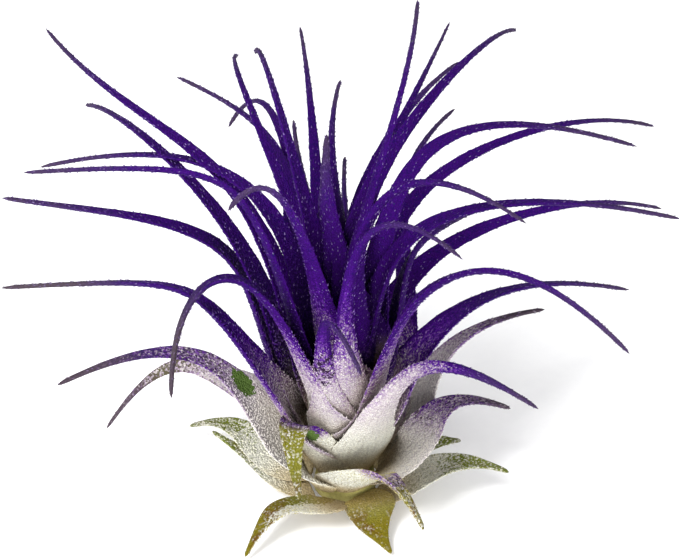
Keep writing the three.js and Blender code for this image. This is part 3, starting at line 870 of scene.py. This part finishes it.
        # painted shade where other leaves are near
        colour = PAINTED_CREVICE_SHADE.shaded(tree, colour, dye, opening=0.85, least=0.3, rays=6)
        colour = get(MIX, [rubbed, colour, get(MIX, [dark, self.fresh, self.bared], **MIXED)], **MIXED)
        wither = get(MATH, [dry, 1.2, get(MATH, [patches, 0.5, -0.3], **SCALED)], **SCALED)
        wither = get(RANGE, [wither, *self.withered], **SMOOTH)
        colour = get(MIX, [wither, colour, self.husk], **MIXED)
        edge = get(RANGE, [cells.outputs["Distance"], *self.edged], **SMOOTH)
        colour = get(MIX, [get(MATH, [edge, 0.28], **TIMES), colour, self.rim], **SHADED)

        height = get(MATH, [streaks, 0.6, get(MATH, [picks[1], 0.4], **TIMES)], **SCALED)
        height = get(MATH, [edge, -1.0, height], **SCALED)
        bump = get("ShaderNodeBump", {"Height": height, "Distance": self.relief, "Strength": 0.7})
        looks = {"Base Color": colour, "Roughness": 0.65, "IOR": 1.4, "Specular IOR Level": 0.06}
        shader = get("ShaderNodeBsdfPrincipled", {**looks, "Normal": bump})
        tree.links.new(shader, end.inputs["Surface"])
        return material


@dataclass(frozen=True)
class ScaleFinish:
    """Dead, air-filled scales: dry and slightly silky, white where undyed and violet where dyed, with painted
    highlight glints on some dyed scales and painted shade in crevices.
    """

    name: str = "pointed_scales"
    second_draw: float = 7.3
    glinting: tuple[float, float] = (0.72, 1.0)
    dyed: tuple[float, float] = (0.1, 0.5)
    rooted: tuple[float, float] = (8.5, 1.5)
    glint_highlight: str = "#8f7aae"
    olive: str = "#a39a4c"
    grey: str = "#6b6070"

    def build(self) -> bpy.types.Material:
        """Builds the finish from the attributes that each scale carries."""
        material, tree, end = new_material(self.name)
        get = partial(result, tree)
        keys = ("tone", "wear", "chance")
        read = {key: add(tree, "ShaderNodeAttribute", {}, attribute_name=key).outputs for key in keys}
        dye, _, olive = add(tree, "ShaderNodeSeparateXYZ", [read["tone"]["Vector"]]).outputs
        dry, _, along = add(tree, "ShaderNodeSeparateXYZ", [read["wear"]["Vector"]]).outputs
        chance = read["chance"]["Fac"]
        # painted highlight: a random share of dyed scales is lightened as glints
        second = get(MATH, [get(MATH, [chance, self.second_draw], **TIMES)], operation="FRACT")
        glint = get(RANGE, [second, *self.glinting], **SMOOTH)
        glint = get(MATH, [glint, get(RANGE, [dye, *self.dyed], **SMOOTH)], **TIMES)
        rooted = get(RANGE, [along, *self.rooted], **SMOOTH)
        colour = DYE.colour(tree, DYE.strength(tree, dye, chance, 0.0))
        # the root tan is partly the roots' own colour and partly painted warm shade
        for share, most, code in (
            (glint, 0.6, self.glint_highlight), (olive, 0.9, self.olive), (rooted, 0.7, PAINTED_CREVICE_SHADE.tan)
        ):
            colour = get(MIX, [get(MATH, [share, most], **TIMES), colour, code], **MIXED)
        # painted shade where other leaves are near
        colour = PAINTED_CREVICE_SHADE.shaded(tree, colour, dye, opening=0.8, least=0.25, rays=4)
        colour = get(MIX, [get(MATH, [dry, 0.7], **TIMES), colour, self.grey], **MIXED)
        looks = {"Base Color": colour, "Roughness": 0.6, "Specular IOR Level": 0.08}
        tree.links.new(get("ShaderNodeBsdfPrincipled", looks), end.inputs["Surface"])
        return material


@dataclass(frozen=True)
class DryStem:
    """A dry stem foot: corky brown bark between old yellow-green leaf scars."""

    name: str = "dry_stem_bark"
    bark: str = "#6e5a3e"
    pale: str = "#a8a058"
    shade: str = "#3a2f22"
    grain: float = 0.8 * MM
    mixing: float = 2.0 * MM
    greening: tuple[float, float] = (1.2 * MM, 3.4 * MM)
    relief: float = 0.3 * MM

    def build(self) -> bpy.types.Material:
        """Builds the finish."""
        material, tree, end = new_material(self.name)
        get = partial(result, tree)
        place = out(add(tree, "ShaderNodeTexCoord", {}), "Object")
        cork = {"Vector": place, "Scale": 1 / self.grain, "Detail": 5.0, "Roughness": 0.7}
        grain = get("ShaderNodeTexNoise", cork)
        rise = out(add(tree, "ShaderNodeSeparateXYZ", [place]), "Z")
        green = get(RANGE, [get(MATH, [grain, self.mixing, rise], **SCALED), *self.greening], **SMOOTH)
        colour = get(MIX, [green, self.bark, self.pale], **MIXED)
        colour = get(MIX, [get(MATH, [grain, 0.8, -0.1], **SCALED), colour, self.shade], **SHADED)
        bump = get("ShaderNodeBump", {"Height": grain, "Distance": self.relief, "Strength": 0.8})
        looks = {"Base Color": colour, "Roughness": 0.85, "Normal": bump}
        tree.links.new(get("ShaderNodeBsdfPrincipled", looks), end.inputs["Surface"])
        return material


@dataclass(frozen=True)
class WhiteTable:
    """Matt white laminate, so bright that only the plant's soft shadow shows on it."""

    name: str = "white_laminate"
    white: str = "#fdfdfd"
    cool_white: str = "#f7f7f8"
    grain: float = 2.0 * MM

    def build(self) -> bpy.types.Material:
        """Builds the finish."""
        material, tree, end = new_material(self.name)
        get = partial(result, tree)
        place = out(add(tree, "ShaderNodeTexCoord", {}), "Object")
        grain = get("ShaderNodeTexNoise", {"Vector": place, "Scale": 1 / self.grain, "Detail": 2.0})
        colour = get(MIX, [grain, self.white, self.cool_white], **MIXED)
        shader = get("ShaderNodeBsdfPrincipled", {"Base Color": colour, "Roughness": 0.7})
        tree.links.new(shader, end.inputs["Surface"])
        return material


@dataclass
class Stem:
    """The short tapering stem with its rows of leaf scars. Millimetres."""

    foot_radius: float = 4.2
    foot_edge: float = 1.2
    top: float = 22.5
    sides: int = 72
    rings: int = 60
    slack: float = 0.1
    crown_run: float = 1.5
    crown_share: float = 0.4
    scar: float = 0.16
    scar_turns: tuple[int, int] = (8, 5)
    scar_pitch: tuple[float, float] = (1.9, -2.6)
    scarred: tuple[float, float] = (0.5, 21.5)

    def build(self, finish: bpy.types.Material) -> bpy.types.Object:
        """Turns the stem and presses the scars into it.

        Args:
            finish: the bark.

        Returns:
            The stem, which replaces its node.
        """
        heights = np.concatenate([[0.0, 0.0], np.linspace(0.0, self.top, self.rings), [self.top]])
        radii = []
        for i, z in enumerate(heights):
            full = SPIRAL.radius(z) - self.slack
            foot = self.foot_radius + (full - self.foot_radius) * min(1.0, z / self.foot_edge)
            crown = full * (1 - self.crown_share * float(smooth(z, self.top - self.crown_run, self.top)))
            radii.append(min(foot, crown) if 0 < i < len(heights) - 1 else 0.0)
        points, faces = [], []
        low, high = self.scarred
        for z, r in zip(heights, radii):
            for k in range(self.sides):
                a = 2 * math.pi * k / self.sides
                left, right = (
                    math.sin(turns * a + pitch * z) for turns, pitch in zip(self.scar_turns, self.scar_pitch)
                )
                dent = self.scar * max(0.0, left * right)
                reach = max(0.0, r - (dent if low < z < high else 0.0))
                points.append((reach * math.cos(a) * MM, reach * math.sin(a) * MM, z * MM))
        for i in range(len(heights) - 1):
            for k in range(self.sides):
                a, b = i * self.sides + k, i * self.sides + (k + 1) % self.sides
                faces.append((a, b, b + self.sides, a + self.sides))
        mesh = bpy.data.meshes.new("stem_skin")
        mesh.from_pydata(points, [], faces)
        stem = bpy.data.objects.new("stem_skin", mesh)
        bpy.context.scene.collection.objects.link(stem)
        weld = stem.modifiers.new("weld", "WELD")
        weld.merge_threshold = 0.002 * MM
        view = bpy.context.evaluated_depsgraph_get()
        stem.data = bpy.data.meshes.new_from_object(stem.evaluated_get(view), depsgraph=view)
        stem.modifiers.clear()
        stem.data.materials.append(finish)
        stem.data.shade_smooth()
        return stem


@dataclass
class Foliage:
    """All the leaves: swept blades and the coat of scales on them."""

    around: int = 26
    scales_per_mm2: float = 5.0
    scale_length: float = 0.42
    scale_width: float = 0.11
    scale_lean: float = 2.2
    quick_share: float = 0.15
    heart_seed: int = 60
    flank: tuple[float, float] = (-0.25, 0.35)
    flank_end: tuple[float, float] = (0.55, 0.85)
    least_coat: float = 0.12
    scrape_stretch: float = 1.6
    scrape_edge: tuple[float, float] = (0.5, 1.3)
    scale_loss: tuple[float, float] = (0.35, 0.6)
    skin: bpy.types.Material | None = None
    scales: bpy.types.Material | None = None
    sweep: SweepTree | None = None
    coat: ScaleCoatTree | None = None

    def prepare(self) -> None:
        """Builds the finishes and the two geometry trees."""
        self.skin = LeafSkin().build()
        self.scales = ScaleFinish().build()
        self.sweep = SweepTree("leaf_sweep")
        self.coat = ScaleCoatTree("scale_coat")

    def _blade(self, leaf: Leaf, root: np.ndarray, name: str) -> bpy.types.Object:
        """Sweeps one leaf and marks where its scales stand.

        Args:
            leaf: the leaf.
            root: where it starts, in millimetres.
            name: the object's name.

        Returns:
            The bare blade.
        """
        rib = Midrib(leaf, root)
        blade = rib.ribbon(name)
        values = {self.sweep.around_input: self.around, self.sweep.finish_input: self.skin}
        blade.data = grown(blade, self.sweep.tree, values)
        self._mark(blade.data, leaf, rib)
        return blade

    def _mark(self, mesh: bpy.types.Mesh, leaf: Leaf, rib: Midrib) -> None:
        """Stores the rubbed patches and the density of the scales on a blade.

        Args:
            mesh: the blade's mesh.
            leaf: the leaf.
            rib: its midrib.
        """
        count = len(mesh.vertices)
        read: dict[str, np.ndarray] = {}
        kinds = (("tone", "vector", 3), ("wear", "vector", 3), ("across", "value", 1), ("face", "value", 1))
        for key, kind, width in kinds:
            values = np.zeros(count * width, np.float32)
            mesh.attributes[key].data.foreach_get(kind, values)
            read[key] = values.reshape(count, width)
        felt, along, inner = read["tone"][:, 1], read["wear"][:, 2], read["wear"][:, 1]
        side = smooth(read["across"][:, 0], *self.flank) * (1 - smooth(along / rib.length, *self.flank_end))
        inner += leaf.tone.value.flank * side * (1 - inner)
        mesh.attributes["wear"].data.foreach_set("vector", read["wear"].ravel())
        patch, dark = np.zeros(count), np.zeros(count)
        widths = rib.sections()[:, 0]
        across = np.interp(along, rib.along, widths) * read["across"][:, 0]
        for scrape in leaf.scrapes:
            half = np.interp(scrape.at[0], rib.along, widths)
            stretched = (along - scrape.at[0]) / self.scrape_stretch
            far = np.hypot(stretched, across - scrape.at[1] * half) / scrape.radius
            near = scrape.depth * (1 - smooth(far, *self.scrape_edge))
            patch = np.maximum(patch, near)
            dark = np.maximum(dark, (near > 0) * scrape.dark)
        kept = np.where(read["face"][:, 0] > 0, 1.0, inner)
        dense = (self.least_coat + (1 - self.least_coat) * felt) * kept
        dense = dense * (1 - smooth(patch, *self.scale_loss)) * smooth(along, 0.0, 1.0)
        for key, values in (("scrape", patch), ("scrape_dark", dark), ("coat", dense)):
            data = mesh.attributes.new(key, "FLOAT", "POINT").data
            data.foreach_set("value", np.asarray(values, np.float32))

    def _coated(self, piece: bpy.types.Object, seed: int) -> bpy.types.Object:
        """Grows the scales on a piece.

        Args:
            piece: the bare blade or blades.
            seed: the seed of this piece's scales.

        Returns:
            The same object, with its scales in its mesh.
        """
        number = self.scales_per_mm2 / (MM * MM) * 1.0
        keys = self.coat.inputs
        values = {
            keys["Per square metre"]: number,
            keys["Length"]: self.scale_length * MM,
            keys["Width"]: self.scale_width * MM,
            keys["Lean"]: self.scale_lean,
            keys["Seed"]: seed,
            keys["Finish"]: self.scales,
        }
        piece.data = grown(piece, self.coat.tree, values)
        return piece

    def leaf(self, leaf: Leaf) -> bpy.types.Object:
        """Builds one leaf of the spiral."""
        root = SPIRAL.root(leaf.slot, leaf.sheath[0])
        return self._coated(self._blade(leaf, root, leaf.name + "_skin"), leaf.slot)

    def heart(self, leaves: list[Leaf]) -> bpy.types.Object:
        """Builds the youngest leaves as one piece.

        Args:
            leaves: the youngest leaves.

        Returns:
            The joined piece.
        """
        blades = [self._blade(x, SPIRAL.heart_root(x.slot), f"heart_{x.slot}") for x in leaves]
        blades.append(self._bud())
        with bpy.context.temp_override(active_object=blades[0], selected_editable_objects=blades):
            bpy.ops.object.join()
        blades[0].name = "heart_leaves_skin"
        return self._coated(blades[0], self.heart_seed)

    def _bud(self) -> bpy.types.Object:
        """Builds the closed bud that the youngest leaves grow from, as a short leaf of its own."""
        bud = Leaf(53, "bud", (90, 3, 0), (90, 0.4, 28), (80, 0, 0.2), broad=0.45)
        return self._blade(bud, np.array([0.0, 0.0, SPIRAL.heart_base]), "heart_bud")


@dataclass
class Studio:
    """The white table, the soft light and the camera. Millimetres, degrees and pixels."""

    picture: tuple[int, int] = (679, 560)
    elevation: float = 37.0
    distance: float = 420.0
    focal_px: float = 2688.0
    look_at: tuple[float, float, float] = (-0.91, 0.0, 43.2)
    film_mm: float = 36.0
    table: float = 3000.0
    room_light: float = 0.8
    lit_height: float = 30.0

    def camera(self) -> None:
        """Places the camera in front of the plant, looking down on it."""
        e = math.radians(self.elevation)
        ahead = Vector((0.0, math.cos(e), -math.sin(e)))
        upward = Vector((0.0, math.sin(e), math.cos(e)))
        lens = bpy.data.cameras.new("view")
        lens.sensor_fit = "HORIZONTAL"
        lens.sensor_width = self.film_mm
        lens.lens = self.focal_px / self.picture[0] * self.film_mm
        lens.clip_start = 0.01
        lens.clip_end = 20.0
        eye = bpy.data.objects.new("view", lens)
        turn = Matrix((Vector((1.0, 0.0, 0.0)), upward, -ahead)).transposed().to_4x4()
        eye.matrix_world = Matrix.Translation((Vector(self.look_at) - ahead * self.distance) * MM) @ turn
        bpy.context.scene.collection.objects.link(eye)
        bpy.context.scene.camera = eye

    def lights(self) -> None:
        """Adds a white room, a broad key light from the upper left and a weak fill from the right."""
        world = bpy.data.worlds.new("white_room")
        world.use_nodes = True
        ground = world.node_tree.nodes["Background"]
        ground.inputs["Color"].default_value = (1.0, 1.0, 1.0, 1.0)
        ground.inputs["Strength"].default_value = self.room_light
        bpy.context.scene.world = world
        rows = (
            ("key", (-300.0, -260.0, 520.0), 220.0, 4.8),
            ("fill", (40.0, -560.0, 140.0), 300.0, 3.0),
        )
        for name, place, width, watts in rows:
            lamp = bpy.data.lights.new(name, "AREA")
            lamp.size = width * MM
            lamp.energy = watts
            holder = bpy.data.objects.new(name, lamp)
            holder.location = Vector(place) * MM
            aim = Vector((0.0, 0.0, self.lit_height)) * MM - holder.location
            holder.rotation_euler = aim.to_track_quat("-Z", "Y").to_euler()
            bpy.context.scene.collection.objects.link(holder)

    def floor(self) -> None:
        """Lays the white table under the plant."""
        half = self.table * MM / 2
        mesh = bpy.data.meshes.new("table")
        corners = [(-half, -half, 0), (half, -half, 0), (half, half, 0), (-half, half, 0)]
        mesh.from_pydata(corners, [], [(0, 1, 2, 3)])
        mesh.materials.append(WhiteTable().build())
        top = bpy.data.objects.new("table", mesh)
        bpy.context.scene.collection.objects.link(top)


def place(piece: bpy.types.Object, node: str) -> None:
    """Puts a finished piece in its node's place.

    Args:
        piece: the finished object.
        node: the node that it replaces.
    """
    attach(piece, BODY)
    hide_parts(node)
    LOG.info("%s: %d faces", piece.name, len(piece.data.polygons))


def main() -> None:
    """Builds the plant and its studio."""
    logging.basicConfig(level=logging.INFO, format="%(name)s: %(message)s")
    bpy.context.scene.view_settings.view_transform = "Standard"
    studio = Studio()
    studio.camera()
    studio.lights()
    studio.floor()
    foliage = Foliage()
    foliage.prepare()
    place(Stem().build(DryStem().build()), "stem")
    for leaf in LEAVES:
        place(foliage.leaf(leaf), leaf.name)
    place(foliage.heart(HEART_LEAVES), "heart_leaves")


if __name__ == "__main__":
    main()
